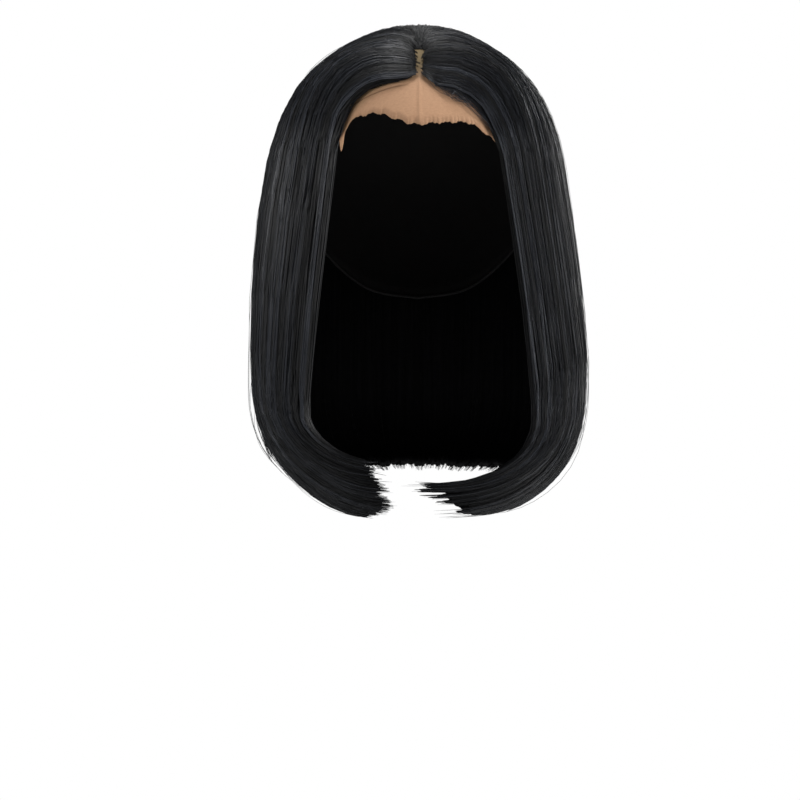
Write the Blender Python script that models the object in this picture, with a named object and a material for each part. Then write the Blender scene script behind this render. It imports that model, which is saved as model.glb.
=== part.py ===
"""Bob wig with a lace front and a centre parting, worn shape, for a female head of 540 mm girth.

Metres, +Z up. The face looks along -Y, so the wearer's right is -X. The origin is the inside of the
cap at the crown, where the top of the head touches it.
"""

import math
import random

import bmesh
import bpy
from mathutils import Vector

# Head form that the cap is cut for: half sizes at its widest level, and heights from that level.
HEAD_HALF_WIDTH = 0.0750
HEAD_HALF_LENGTH = 0.0960
HEAD_RISE = 0.0850
HEAD_DROP = 0.1050
WIDEST_Z = -HEAD_RISE

# Cloth of the cap and of the lace panel, and the clearance between one piece and the next.
CAP_WALL = 0.0012
LACE_WALL = 0.0010
SEAM_GAP = 0.0006
REST_GAP = 0.0012

# Edge of the cap: azimuth from the middle of the forehead, and angle down from the crown, in degrees.
CAP_EDGE = (
    {"azimuth": 0, "down": 26},
    {"azimuth": 20, "down": 31},
    {"azimuth": 37, "down": 52},
    {"azimuth": 46, "down": 80},
    {"azimuth": 54, "down": 101},
    {"azimuth": 66, "down": 101},
    {"azimuth": 84, "down": 88},
    {"azimuth": 100, "down": 90},
    {"azimuth": 122, "down": 108},
    {"azimuth": 150, "down": 124},
    {"azimuth": 180, "down": 128},
)
CAP_CROWN_DEGREES = 7
CAP_COLUMNS = 44
CAP_ROWS = 7

# Free edge of the lace panel on the forehead, from the wearer's right to the left, in degrees.
LACE_EDGE = (
    {"azimuth": -45, "down": 86},
    {"azimuth": -40, "down": 81},
    {"azimuth": -36, "down": 73},
    {"azimuth": -31, "down": 68},
    {"azimuth": -20, "down": 67},
    {"azimuth": -7, "down": 71},
    {"azimuth": 0, "down": 72},
    {"azimuth": 12, "down": 71},
    {"azimuth": 23, "down": 71},
    {"azimuth": 31, "down": 75},
    {"azimuth": 38, "down": 80},
    {"azimuth": 45, "down": 87},
)
LACE_HALF_SPAN = 45
LACE_COLUMNS = 36
LACE_ROWS = 5
SCALLOP_DEGREES = 0.6
SCALLOPS_PER_DEGREE = 0.21

# Parting: narrow at the hairline, bare and widest just before its sides close, then a groove to the
# crown, where the hair fans.
HAIRLINE_Y = -0.0755
FAN_Y = -0.0020
PARTING = (
    {"y": -0.0755, "half_width": 0.0010},
    {"y": -0.0660, "half_width": 0.0012},
    {"y": -0.0560, "half_width": 0.0026},
    {"y": -0.0460, "half_width": 0.0028},
    {"y": -0.0380, "half_width": 0.0009},
    {"y": -0.0020, "half_width": 0.0009},
)
PARTING_CLOSED_WIDTH = 0.0009

# How far back the hairline lies from a straight way, by share of the way from the parting to the temple.
HAIRLINE_BOW = (
    {"share": 0.0, -1: 0.0000, 1: 0.0000},
    {"share": 0.1, -1: -0.0027, 1: -0.0045},
    {"share": 0.2, -1: -0.0020, 1: -0.0048},
    {"share": 0.35, -1: 0.0010, 1: -0.0048},
    {"share": 0.5, -1: 0.0024, 1: -0.0032},
    {"share": 0.7, -1: 0.0040, 1: -0.0025},
    {"share": 0.85, -1: 0.0020, 1: -0.0010},
    {"share": 1.0, -1: 0.0000, 1: 0.0000},
)

# Hair runs round each side of the head: place 0 is the front edge and place 1 the middle of the back.
# Each section has so many locks.
FAN_PLACE = 0.42
FRONT_ENDS = 0.27
SIDE_ENDS = 0.64
LOCKS = {"front": 8, "side": 8, "back": 14}

# Depth of the hair between the cap and the outside, by share of the way from the root to the widest level.
DOME_DEPTH = (
    {"share": 0.0, "hairline": 0.0014, "crown": 0.0048},
    {"share": 0.1, "hairline": 0.0034, "crown": 0.0072},
    {"share": 0.2, "hairline": 0.0050, "crown": 0.0068},
    {"share": 0.4, "hairline": 0.0074, "crown": 0.0066},
    {"share": 0.6, "hairline": 0.0090, "crown": 0.0078},
    {"share": 0.8, "hairline": 0.0102, "crown": 0.0096},
    {"share": 1.0, "hairline": 0.0109, "crown": 0.0109},
)
LIFT_AT_ROOT = CAP_WALL + REST_GAP
LIFT_AT_WIDEST = 0.0042
LIFT_STARTS = 0.5

# Inner face of the hanging hair: level, half width, reach to the front and to the back, depth of hair,
# and the azimuth of the front edge in degrees.
FALL = (
    {"z": -0.085, "width": 0.0785, "front": 0.1002, "back": 0.1002, "depth": 0.0109, "edge": 37},
    {"z": -0.118, "width": 0.0835, "front": 0.0975, "back": 0.1010, "depth": 0.0109, "edge": 39},
    {"z": -0.150, "width": 0.0865, "front": 0.0965, "back": 0.0995, "depth": 0.0110, "edge": 41},
    {"z": -0.190, "width": 0.0885, "front": 0.0955, "back": 0.0950, "depth": 0.0104, "edge": 45},
    {"z": -0.225, "width": 0.0872, "front": 0.0955, "back": 0.0895, "depth": 0.0093, "edge": 47},
)
FALL_STEPS = 4
FRONT_EDGE_SHARE = 0.45
FRONT_EDGE_WIDTH = 0.10

# The wearer's right side is fuller over the temple and cheek, the left side lower down.
FULLNESS = (
    {"z": 0.000, -1: 1.00, 1: 0.96},
    {"z": -0.050, -1: 1.10, 1: 0.84},
    {"z": -0.085, -1: 1.22, 1: 0.78},
    {"z": -0.118, -1: 1.25, 1: 0.75},
    {"z": -0.150, -1: 1.13, 1: 0.87},
    {"z": -0.190, -1: 0.97, 1: 1.02},
)

# The front curtains sweep inwards under the chin, between an upper and a lower line.
SWEEP = {
    -1: {
        "upper_tip": (-0.0270, -0.0640, -0.2520),
        "lower_tip": (-0.0225, -0.0600, -0.2870),
        "roundness": 1.0,
    },
    1: {
        "upper_tip": (0.0030, -0.0640, -0.2620),
        "lower_tip": (0.0250, -0.0600, -0.2870),
        "roundness": 0.84,
    },
}
SWEEP_UPPER_Z = -0.220
SWEEP_LOWER_Z = -0.200
SWEEP_TIP_DEPTH = {"upper": 0.0060, "lower": 0.0085}

# The sides and the back turn under towards the neck. The two ways of ending blend between two places.
BLEND_STARTS = 0.15
BLEND_ENDS = 0.46
TURN_UNDER_Z = -0.206
TURN_UNDER_REACH = {"side": 0.017, "back": 0.026}
TURN_UNDER_DROP = {"side": 0.049, "back": 0.044}
TURN_UNDER_ANGLE = 68
TURN_UNDER_TIP_DEPTH = 0.0060

# Locks are flat ribs along the hair, with a groove on each side and an uneven cut at the ends.
LOCK_COLUMNS = 3
LOCK_PROFILE = (0.0, 1.0, 0.9)
LOCK_HEIGHT = 0.0016
LOCK_SHARE_OF_DEPTH = 0.3
TIP_NOTCH = 0.0045
TIP_UNEVEN = 0.0025
LOCK_SEED = 7
SECTION_GAP = 0.0007

DOME_STEPS = 11
CURL_SHARES = (0.18, 0.36, 0.54, 0.70, 0.86, 1.0)


def clear_scene():
    """Removes whatever the file holds."""
    for old in list(bpy.data.objects):
        bpy.data.objects.remove(old)


def ease(value):
    """0 to 1 with a soft start and end."""
    held = min(1.0, max(0.0, value))
    return held * held * (3 - 2 * held)


def mix(start, end, share):
    """The value at a share of the way from start to end."""
    return start + (end - start) * share


def read_table(rows, key, column, at):
    """A column of a table at a value of its key, on a smooth curve through the rows."""
    ordered = sorted(rows, key=lambda row: row[key])
    keys = [row[key] for row in ordered]
    values = [row[column] for row in ordered]
    at = min(keys[-1], max(keys[0], at))
    last = len(keys) - 1
    i = next(k for k in range(last) if at <= keys[k + 1])

    def slope(k):
        low, high = max(0, k - 1), min(last, k + 1)
        return (values[high] - values[low]) / (keys[high] - keys[low])

    span = keys[i + 1] - keys[i]
    t = (at - keys[i]) / span
    return (
        (2 * t**3 - 3 * t**2 + 1) * values[i]
        + (t**3 - 2 * t**2 + t) * span * slope(i)
        + (3 * t**2 - 2 * t**3) * values[i + 1]
        + (t**3 - t**2) * span * slope(i + 1)
    )


def on_head(azimuth, down, lift):
    """Point on the head form, raised by lift: azimuth from the face to +X and angle down, in radians."""
    height = HEAD_RISE if down < math.pi / 2 else HEAD_DROP
    return Vector((
        (HEAD_HALF_WIDTH + lift) * math.sin(down) * math.sin(azimuth),
        -(HEAD_HALF_LENGTH + lift) * math.sin(down) * math.cos(azimuth),
        WIDEST_Z + (height + lift) * math.cos(down),
    ))


def add_material(name, colour, roughness):
    material = bpy.data.materials.new(name)
    material.use_nodes = True
    shader = material.node_tree.nodes["Principled BSDF"]
    shader.inputs["Base Color"].default_value = (*colour, 1.0)
    shader.inputs["Roughness"].default_value = roughness
    shader.inputs["Metallic"].default_value = 0.0
    return material


def finish_object(name, bm, material):
    bmesh.ops.recalc_face_normals(bm, faces=bm.faces)
    if bm.calc_volume(signed=True) < 0:
        bmesh.ops.reverse_faces(bm, faces=bm.faces)
    mesh = bpy.data.meshes.new(name)
    bm.to_mesh(mesh)
    bm.free()
    mesh.shade_smooth()
    made = bpy.data.objects.new(name, mesh)
    bpy.context.scene.collection.objects.link(made)
    mesh.materials.append(material)
    return made


def add_cloth(name, columns, rows, point, closed_round, wall, material):
    """A cloth shell: a grid of points on its inner face, thickened outwards by a Solidify modifier."""
    bm = bmesh.new()
    grid = [[bm.verts.new(point(i, j)) for i in range(columns)] for j in range(rows)]
    spans = columns if closed_round else columns - 1
    for j in range(rows - 1):
        for i in range(spans):
            after = (i + 1) % columns
            bm.faces.new((grid[j][i], grid[j][after], grid[j + 1][after], grid[j + 1][i]))
    if closed_round:
        bm.faces.new(grid[0])
    made = finish_object(name, bm, material)
    solidify = made.modifiers.new("wall", "SOLIDIFY")
    solidify.thickness = wall
    solidify.offset = 1.0
    solidify.use_even_offset = True
    return made


def cap_edge(azimuth_degrees):
    """How far down the cap reaches at an azimuth, in degrees."""
    return read_table(CAP_EDGE, "azimuth", "down", abs(azimuth_degrees))


def build_cap(material):
    """Stretch net cap: a bowl over the crown that dips to ear tabs and to the nape."""
    def point(i, j):
        azimuth = 360 * i / CAP_COLUMNS - 180
        down = mix(CAP_CROWN_DEGREES, cap_edge(azimuth), j / (CAP_ROWS - 1))
        return on_head(math.radians(azimuth), math.radians(down), 0.0)

    return add_cloth("cap", CAP_COLUMNS, CAP_ROWS, point, True, CAP_WALL, material)


def build_lace_front(material):
    """Sheer lace panel: from the front edge of the cap, under the parting, down to a scalloped edge."""
    seam = math.degrees(SEAM_GAP * 2 / HEAD_HALF_LENGTH)

    def point(i, j):
        azimuth = mix(-LACE_HALF_SPAN, LACE_HALF_SPAN, i / (LACE_COLUMNS - 1))
        scallop = SCALLOP_DEGREES * math.sin(2 * math.pi * SCALLOPS_PER_DEGREE * azimuth)
        free_edge = read_table(LACE_EDGE, "azimuth", "down", azimuth) + scallop
        down = mix(cap_edge(azimuth) + seam, free_edge, j / (LACE_ROWS - 1))
        return on_head(math.radians(azimuth), math.radians(down), 0.0)

    return add_cloth("lace_front", LACE_COLUMNS, LACE_ROWS, point, False, LACE_WALL, material)


def root_of(place):
    """Where a strand leaves the parting, or the fan at its end, seen from above on the +X side."""
    if place < FAN_PLACE:
        y = mix(HAIRLINE_Y, FAN_Y, place / FAN_PLACE)
        return read_table(PARTING, "y", "half_width", y), y
    turn = math.radians(mix(90, 180, (place - FAN_PLACE) / (1 - FAN_PLACE)))
    return PARTING_CLOSED_WIDTH * math.sin(turn), FAN_Y - PARTING_CLOSED_WIDTH * math.cos(turn)


def azimuth_of(place, z):
    """Azimuth of a place at a level, in radians: the front edge drifts outwards as the hair falls."""
    return math.radians(mix(read_table(FALL, "z", "edge", z), 180, place))


def dome_knot(side, place, share, outwards):
    """Point of a strand over the cap, share 0 at the root and 1 at the widest level of the head."""
    lift = mix(LIFT_AT_ROOT, LIFT_AT_WIDEST, ease((share - LIFT_STARTS) / (1 - LIFT_STARTS)))
    half_width, half_length = HEAD_HALF_WIDTH + lift, HEAD_HALF_LENGTH + lift
    rise = HEAD_RISE + lift
    azimuth = azimuth_of(place, WIDEST_Z)
    along = math.sin(share * math.pi / 2)
    root_x, root_y = root_of(place)
    bow = read_table(HAIRLINE_BOW, "share", side, share) * (1 - ease(place / FRONT_ENDS))
    x = mix(root_x, half_width * math.sin(azimuth), along)
    y = mix(root_y, -half_length * math.cos(azimuth), along) + bow
    z = WIDEST_Z + rise * math.sqrt(max(0.0, 1 - (x / half_width) ** 2 - (y / half_length) ** 2))
    normal = Vector((x / half_width**2, y / half_length**2, (z - WIDEST_Z) / rise**2)).normalized()
    at_hairline = read_table(DOME_DEPTH, "share", "hairline", share)
    at_crown = read_table(DOME_DEPTH, "share", "crown", share)
    depth = mix(at_hairline, at_crown, ease(place / FAN_PLACE)) * fullness(side, place, z)
    knot = Vector((x, y, z)) + normal * depth * outwards
    return Vector((side * knot.x, knot.y, knot.z))


def fullness(side, place, z):
    """The hair thins towards its front edge. The sides differ, and agree at the middle of the back."""
    of_side = mix(read_table(FULLNESS, "z", side, z), 1.0, ease(place))
    return mix(FRONT_EDGE_SHARE, 1.0, ease(place / FRONT_EDGE_WIDTH)) * of_side


def section_at(side, place, z):
    """Point on the inner face of the hanging hair, its outward normal and the depth of hair there."""
    azimuth = azimuth_of(place, z)
    half_width = read_table(FALL, "z", "width", z)
    reach = read_table(FALL, "z", "front" if azimuth < math.pi / 2 else "back", z)
    point = Vector((side * half_width * math.sin(azimuth), -reach * math.cos(azimuth), z))
    normal = Vector((side * math.sin(azimuth) / half_width, -math.cos(azimuth) / reach, 0.0)).normalized()
    return point, normal, read_table(FALL, "z", "depth", z) * fullness(side, place, z)


def sweep_knots(side, place, outwards):
    """The front curtain's end: down, then inwards under the chin to its blunt tip."""
    across = min(1.0, place / FRONT_ENDS)
    start_z = mix(SWEEP_UPPER_Z, SWEEP_LOWER_Z, across)
    start, normal, depth = section_at(side, place, start_z)
    upper, lower = Vector(SWEEP[side]["upper_tip"]), Vector(SWEEP[side]["lower_tip"])
    way = upper.lerp(lower, across) - start
    tip_depth = mix(SWEEP_TIP_DEPTH["upper"], SWEEP_TIP_DEPTH["lower"], ease(across))
    knots = []
    for share in (0.0, *CURL_SHARES):
        angle = share * math.pi / 2
        inwards = 1 - math.cos(angle) ** SWEEP[side]["roundness"]
        downwards = math.sin(angle) ** SWEEP[side]["roundness"]
        facing = normal.lerp(Vector((0, -1, 0)), ease(share)).normalized()
        here = mix(depth, tip_depth, share)
        moved = Vector((way.x * inwards, way.y * inwards, way.z * downwards))
        knots.append(start + moved + facing * here * outwards)
    return knots


def turn_under_knots(side, place, outwards):
    """The end of the side and back hair: down, then curved in towards the neck."""
    behind = ease(place)
    reach = mix(TURN_UNDER_REACH["side"], TURN_UNDER_REACH["back"], behind)
    drop = mix(TURN_UNDER_DROP["side"], TURN_UNDER_DROP["back"], behind)
    start, normal, depth = section_at(side, place, TURN_UNDER_Z)
    knots = []
    for share in (0.0, *CURL_SHARES):
        angle = share * math.radians(TURN_UNDER_ANGLE)
        facing = (normal * math.cos(angle) - Vector((0, 0, math.sin(angle)))).normalized()
        here = mix(depth, TURN_UNDER_TIP_DEPTH, share)
        inwards = reach * (1 - math.cos(angle)) / (1 - math.cos(math.radians(TURN_UNDER_ANGLE)))
        downwards = drop * math.sin(angle) / math.sin(math.radians(TURN_UNDER_ANGLE))
        knots.append(start - normal * inwards - Vector((0, 0, downwards)) + facing * here * outwards)
    return knots


def strand(side, place, outwards):
    """A strand from root to tip, on the inner face (outwards 0) or the outer face (outwards 1)."""
    turned = ease((place - BLEND_STARTS) / (BLEND_ENDS - BLEND_STARTS))
    ways = zip(sweep_knots(side, place, outwards), turn_under_knots(side, place, outwards))
    curl = [swept.lerp(under, turned) for swept, under in ways]
    knots = [dome_knot(side, place, step / DOME_STEPS, outwards) for step in range(DOME_STEPS + 1)]
    for step in range(1, FALL_STEPS):
        point, normal, depth = section_at(side, place, mix(WIDEST_Z, curl[0].z, step / FALL_STEPS))
        knots.append(point + normal * depth * outwards)
    return knots + curl


def section_strands(spans, columns, outwards, ribbed, seed):
    """Strands across one section of hair, each a list of points, with locks, grooves and an uneven cut."""
    chance = random.Random(seed)
    locks = columns // LOCK_COLUMNS
    uneven = [chance.uniform(-TIP_UNEVEN, TIP_UNEVEN) for _ in range(locks + 1)]
    edges = [strand(*spans(share), outwards) for share in (0.0, 1.0)]
    half_steps = [SECTION_GAP / 2 / max((b - a).length, SECTION_GAP * 2) for a, b in zip(*edges)]
    strands = []
    steps = columns if ribbed else locks
    for i in range(steps + 1):
        share = i / steps
        rows = []
        for j, inset in enumerate(half_steps):
            side, place = spans(mix(inset, 1 - inset, share))
            rows.append(strand(side, place, outwards)[j])
        if ribbed:
            rise = LOCK_PROFILE[i % LOCK_COLUMNS]
            inner = strand(*spans(share), 0.0)
            for j in range(1, len(rows)):
                depth = rows[j] - inner[j]
                height = min(LOCK_HEIGHT, LOCK_SHARE_OF_DEPTH * depth.length)
                rows[j] = rows[j] - depth.normalized() * height * (1 - rise)
            cut = uneven[i // LOCK_COLUMNS] - TIP_NOTCH * (1 - rise) ** 2
            rows[-1] = rows[-1] + (rows[-1] - rows[-2]).normalized() * cut
        strands.append(rows)
    return strands


def add_hair(name, outer, inner, material):
    """Closes the outer and inner faces of a section with walls at its root, its ends and its two edges."""
    bm = bmesh.new()
    out = [[bm.verts.new(point) for point in rows] for rows in outer]
    into = [[bm.verts.new(point) for point in rows] for rows in inner]
    length = len(out[0])
    for grid in (out, into):
        for i in range(len(grid) - 1):
            for j in range(length - 1):
                bm.faces.new((grid[i][j], grid[i + 1][j], grid[i + 1][j + 1], grid[i][j + 1]))
    for first, second in ((out[0], into[0]), (out[-1], into[-1])):
        for j in range(length - 1):
            bm.faces.new((first[j], first[j + 1], second[j + 1], second[j]))
    for j in (0, length - 1):
        for k in range(len(into) - 1):
            rim = [out[k * LOCK_COLUMNS + n][j] for n in range(LOCK_COLUMNS + 1)]
            bm.faces.new((*rim, into[k + 1][j], into[k][j]))
    bmesh.ops.triangulate(bm, faces=bm.faces)
    return finish_object(name, bm, material)


def build_section(name, spans, locks, material, seed):
    columns = locks * LOCK_COLUMNS
    outer = section_strands(spans, columns, 1.0, True, seed)
    inner = section_strands(spans, columns, 0.0, False, seed)
    return add_hair(name, outer, inner, material)


def across_side(side, first, last):
    """Maps 0 to 1 across a section to a place on one side of the head."""
    return lambda share: (side, mix(first, last, share))


def across_back(share):
    """Maps 0 to 1 across the back, from the wearer's right round the nape to the left."""
    turned = 2 * share - 1
    side = -1 if turned < 0 else 1
    return side, mix(1.0, SIDE_ENDS, abs(turned))


def build_hair(material):
    for side, word in ((-1, "right"), (1, "left")):
        front = across_side(side, 0.0, FRONT_ENDS)
        build_section(f"front_curtain_{word}", front, LOCKS["front"], material, LOCK_SEED + side)
        flank = across_side(side, FRONT_ENDS, SIDE_ENDS)
        build_section(f"side_fall_{word}", flank, LOCKS["side"], material, LOCK_SEED + 3 * side)
    build_section("back_fall", across_back, LOCKS["back"], material, LOCK_SEED)


clear_scene()
build_cap(add_material("cap_net", (0.012, 0.012, 0.014), 0.85))
build_lace_front(add_material("lace", (0.52, 0.33, 0.22), 0.75))
build_hair(add_material("hair", (0.010, 0.010, 0.012), 0.38))
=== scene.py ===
import math

import bpy
import numpy as np
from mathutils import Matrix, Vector


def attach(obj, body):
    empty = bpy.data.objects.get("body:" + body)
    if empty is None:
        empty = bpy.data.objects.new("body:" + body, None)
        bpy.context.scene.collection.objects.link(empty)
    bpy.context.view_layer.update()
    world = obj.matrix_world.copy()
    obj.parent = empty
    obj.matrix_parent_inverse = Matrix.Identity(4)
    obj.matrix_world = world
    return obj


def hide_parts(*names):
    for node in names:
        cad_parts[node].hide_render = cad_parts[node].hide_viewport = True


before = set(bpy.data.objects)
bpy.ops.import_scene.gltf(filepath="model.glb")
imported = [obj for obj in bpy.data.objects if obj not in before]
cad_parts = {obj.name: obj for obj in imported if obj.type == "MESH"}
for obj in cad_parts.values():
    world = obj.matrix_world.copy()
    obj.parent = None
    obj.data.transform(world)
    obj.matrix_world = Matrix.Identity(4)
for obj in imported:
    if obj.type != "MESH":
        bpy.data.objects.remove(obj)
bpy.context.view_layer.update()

# The view: straight on from the front, level with the lower half of the hair, 1.8 m away.
# The wig hangs at the height at which it is worn, over a pale floor and in front of plain white.
PHOTO_PIXELS = 800
MM_PER_PIXEL = 0.59
CAMERA_DISTANCE = 1.8
CAMERA_X = -0.011
CAMERA_Z = -0.213
SENSOR_WIDTH = 36.0
FLOOR_Z = -1.100
FLOOR_HALF_WIDTH = 1.5
FLOOR_THICKNESS = 0.02
FILL_STRENGTH = 0.14

camera_data = bpy.data.cameras.new("photo_camera")
camera_data.sensor_width = SENSOR_WIDTH
camera_data.lens = SENSOR_WIDTH * CAMERA_DISTANCE * 1000 / (PHOTO_PIXELS * MM_PER_PIXEL)
camera_data.clip_start = 0.05
camera = bpy.data.objects.new("photo_camera", camera_data)
camera.location = (CAMERA_X, -CAMERA_DISTANCE, CAMERA_Z)
camera.rotation_euler = (math.radians(90), 0, 0)
bpy.context.scene.collection.objects.link(camera)
bpy.context.scene.camera = camera
bpy.context.scene.view_settings.view_transform = "Standard"


def add_softbox(name, place, target, size, watts):
    """A large square light at a place, turned to its target."""
    data = bpy.data.lights.new(name, "AREA")
    data.shape = "RECTANGLE"
    data.size, data.size_y = size
    data.energy = watts
    light = bpy.data.objects.new(name, data)
    light.location = place
    light.rotation_euler = (Vector(target) - Vector(place)).to_track_quat("-Z", "Y").to_euler()
    bpy.context.scene.collection.objects.link(light)


add_softbox("softbox_front_left", (-2.0, -1.1, 0.30), (0, 0, -0.14), (1.0, 1.2), 29)
add_softbox("softbox_front_right", (2.05, -1.0, 0.28), (0, 0, -0.14), (1.0, 1.2), 54)
add_softbox("softbox_above", (0.0, 0.05, 1.7), (0, 0, 0), (1.1, 0.7), 25)
add_softbox("softbox_behind", (0.0, 1.5, 1.5), (0, 0, -0.10), (1.6, 0.8), 5)
add_softbox("softbox_back_left", (-1.2, 2.1, 0.25), (0, 0, -0.14), (1.0, 1.2), 18)
add_softbox("softbox_back_right", (1.0, 2.2, 0.25), (0, 0, -0.14), (1.0, 1.2), 12)

# The white wall lights the wig as a dim fill, and shows white in the picture.
world = bpy.data.worlds.new("white_wall")
world.use_nodes = True
wall = world.node_tree
wall.nodes["Background"].inputs["Color"].default_value = (1.0, 1.0, 1.0, 1.0)
seen = wall.nodes.new("ShaderNodeLightPath").outputs["Is Camera Ray"]
wall_strength = wall.nodes.new("ShaderNodeMapRange")
wall_strength.inputs["To Min"].default_value = FILL_STRENGTH
wall.links.new(seen, wall_strength.inputs["Value"])
wall.links.new(wall_strength.outputs["Result"], wall.nodes["Background"].inputs["Strength"])
bpy.context.scene.world = world


def add_plain_object(name, vertices, faces):
    """A mesh object at the origin, its place in its vertices."""
    mesh = bpy.data.meshes.new(name)
    mesh.from_pydata([tuple(v) for v in vertices], [], [tuple(f) for f in faces])
    mesh.validate()
    made = bpy.data.objects.new(name, mesh)
    bpy.context.scene.collection.objects.link(made)
    return made


floor_corners = [
    (x * FLOOR_HALF_WIDTH, y * FLOOR_HALF_WIDTH, z)
    for z in (FLOOR_Z - FLOOR_THICKNESS, FLOOR_Z) for x, y in ((-1, -1), (1, -1), (1, 1), (-1, 1))
]
floor_sides = [(k, (k + 1) % 4, (k + 1) % 4 + 4, k + 4) for k in range(4)]
floor = add_plain_object("studio_floor", floor_corners, [(3, 2, 1, 0), (4, 5, 6, 7), *floor_sides])
paper = bpy.data.materials.new("white_paper")
paper.use_nodes = True
paper.node_tree.nodes["Principled BSDF"].inputs["Base Color"].default_value = (0.86, 0.86, 0.86, 1.0)
paper.node_tree.nodes["Principled BSDF"].inputs["Roughness"].default_value = 0.9
paper.node_tree.nodes["Principled BSDF"].inputs["Specular IOR Level"].default_value = 0.1
floor.data.materials.append(paper)

# Cap: a bowl of black stretch net over the crown, with ear tabs and a nape, bound at its rim.
# The hair is sewn to its outside. Its inside measures 540 mm round.
CAP_HALF_WIDTH = 0.0750
CAP_HALF_LENGTH = 0.0960
CAP_RISE = 0.0850
CAP_DROP = 0.1050
WIDEST_Z = -CAP_RISE
CAP_WALL = 0.0010
CAP_EDGE = (
    {"azimuth": 0, "down": 26},
    {"azimuth": 20, "down": 31},
    {"azimuth": 37, "down": 52},
    {"azimuth": 46, "down": 80},
    {"azimuth": 54, "down": 101},
    {"azimuth": 66, "down": 101},
    {"azimuth": 84, "down": 88},
    {"azimuth": 100, "down": 90},
    {"azimuth": 122, "down": 108},
    {"azimuth": 150, "down": 124},
    {"azimuth": 180, "down": 128},
)
CAP_COLUMNS = 96
CAP_ROWS = 28
NET_PITCH = 0.0011
THREAD_SHARE = 0.45


def ease(value):
    """0 to 1 with a soft start and end."""
    held = np.clip(value, 0.0, 1.0)
    return held * held * (3 - 2 * held)


def mix(start, end, share):
    """The value at a share of the way from start to end."""
    return start + (end - start) * share


def read_table(rows, key, column, at):
    """A column of a table at values of its key, on a smooth curve through the rows."""
    ordered = sorted(rows, key=lambda row: row[key])
    keys = np.array([row[key] for row in ordered], float)
    values = np.array([row[column] for row in ordered], float)
    slopes = np.empty_like(values)
    slopes[1:-1] = (values[2:] - values[:-2]) / (keys[2:] - keys[:-2])
    slopes[0] = (values[1] - values[0]) / (keys[1] - keys[0])
    slopes[-1] = (values[-1] - values[-2]) / (keys[-1] - keys[-2])
    held = np.clip(np.asarray(at, float), keys[0], keys[-1])
    i = np.clip(np.searchsorted(keys, held) - 1, 0, len(keys) - 2)
    span = keys[i + 1] - keys[i]
    t = (held - keys[i]) / span
    return (
        (2 * t**3 - 3 * t**2 + 1) * values[i]
        + (t**3 - 2 * t**2 + t) * span * slopes[i]
        + (3 * t**2 - 2 * t**3) * values[i + 1]
        + (t**3 - t**2) * span * slopes[i + 1]
    )


def on_cap(azimuth, down, lift):
    """Points on the cap's form, raised by lift: azimuth from the front to +X and angle down, in radians."""
    azimuth, down, lift = np.broadcast_arrays(azimuth, down, lift)
    height = np.where(down < math.pi / 2, CAP_RISE, CAP_DROP)
    return np.stack([
        (CAP_HALF_WIDTH + lift) * np.sin(down) * np.sin(azimuth),
        -(CAP_HALF_LENGTH + lift) * np.sin(down) * np.cos(azimuth),
        WIDEST_Z + (height + lift) * np.cos(down),
    ], axis=-1)


def unit(vectors):
    """Vectors at length 1."""
    return vectors / np.maximum(np.linalg.norm(vectors, axis=-1, keepdims=True), 1e-9)


def add_skin(name, outer, inner, uv, closed_round=0.0, crown=False):
    """A closed shell from matching grids of outer and inner points, with a UV map on both faces.

    closed_round is the girth of a shell whose last column meets its first.
    """
    columns, rows = outer.shape[:2]
    points = np.concatenate([outer.reshape(-1, 3), inner.reshape(-1, 3)])
    low = columns * rows
    faces = []
    for i in range(columns if closed_round else columns - 1):
        after = (i + 1) % columns
        for j in range(rows - 1):
            a, b, c, d = i * rows + j, after * rows + j, after * rows + j + 1, i * rows + j + 1
            faces.append((a, b, c, d))
            faces.append((low + a, low + d, low + c, low + b))
        for j, turned in ((rows - 1, False), (0, True)):
            if crown and j == 0:
                continue
            a, b = i * rows + j, after * rows + j
            rim = (a, b, low + b, low + a)
            faces.append(rim[::-1] if turned else rim)
    if not closed_round:
        for i, turned in ((0, False), (columns - 1, True)):
            for j in range(rows - 1):
                a, d = i * rows + j, i * rows + j + 1
                rim = (a, d, low + d, low + a)
                faces.append(rim[::-1] if turned else rim)
    if crown:
        faces.append(tuple(i * rows for i in range(columns))[::-1])
        faces.append(tuple(low + i * rows for i in range(columns)))
    made = add_plain_object(name, points, faces)
    both = np.concatenate([uv.reshape(-1, 2), uv.reshape(-1, 2)])
    layer = made.data.uv_layers.new(name="flow")
    corner = np.empty(len(made.data.loops), int)
    made.data.loops.foreach_get("vertex_index", corner)
    layer.data.foreach_set("uv", both[corner].ravel())
    if closed_round:
        for face in made.data.polygons:
            places = [layer.data[k].uv for k in face.loop_indices]
            if len(places) == 4 and max(u.x for u in places) - min(u.x for u in places) > closed_round / 2:
                for place in places:
                    place.x += closed_round if place.x < 0 else 0.0
    made.data.shade_smooth()
    return made


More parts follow.
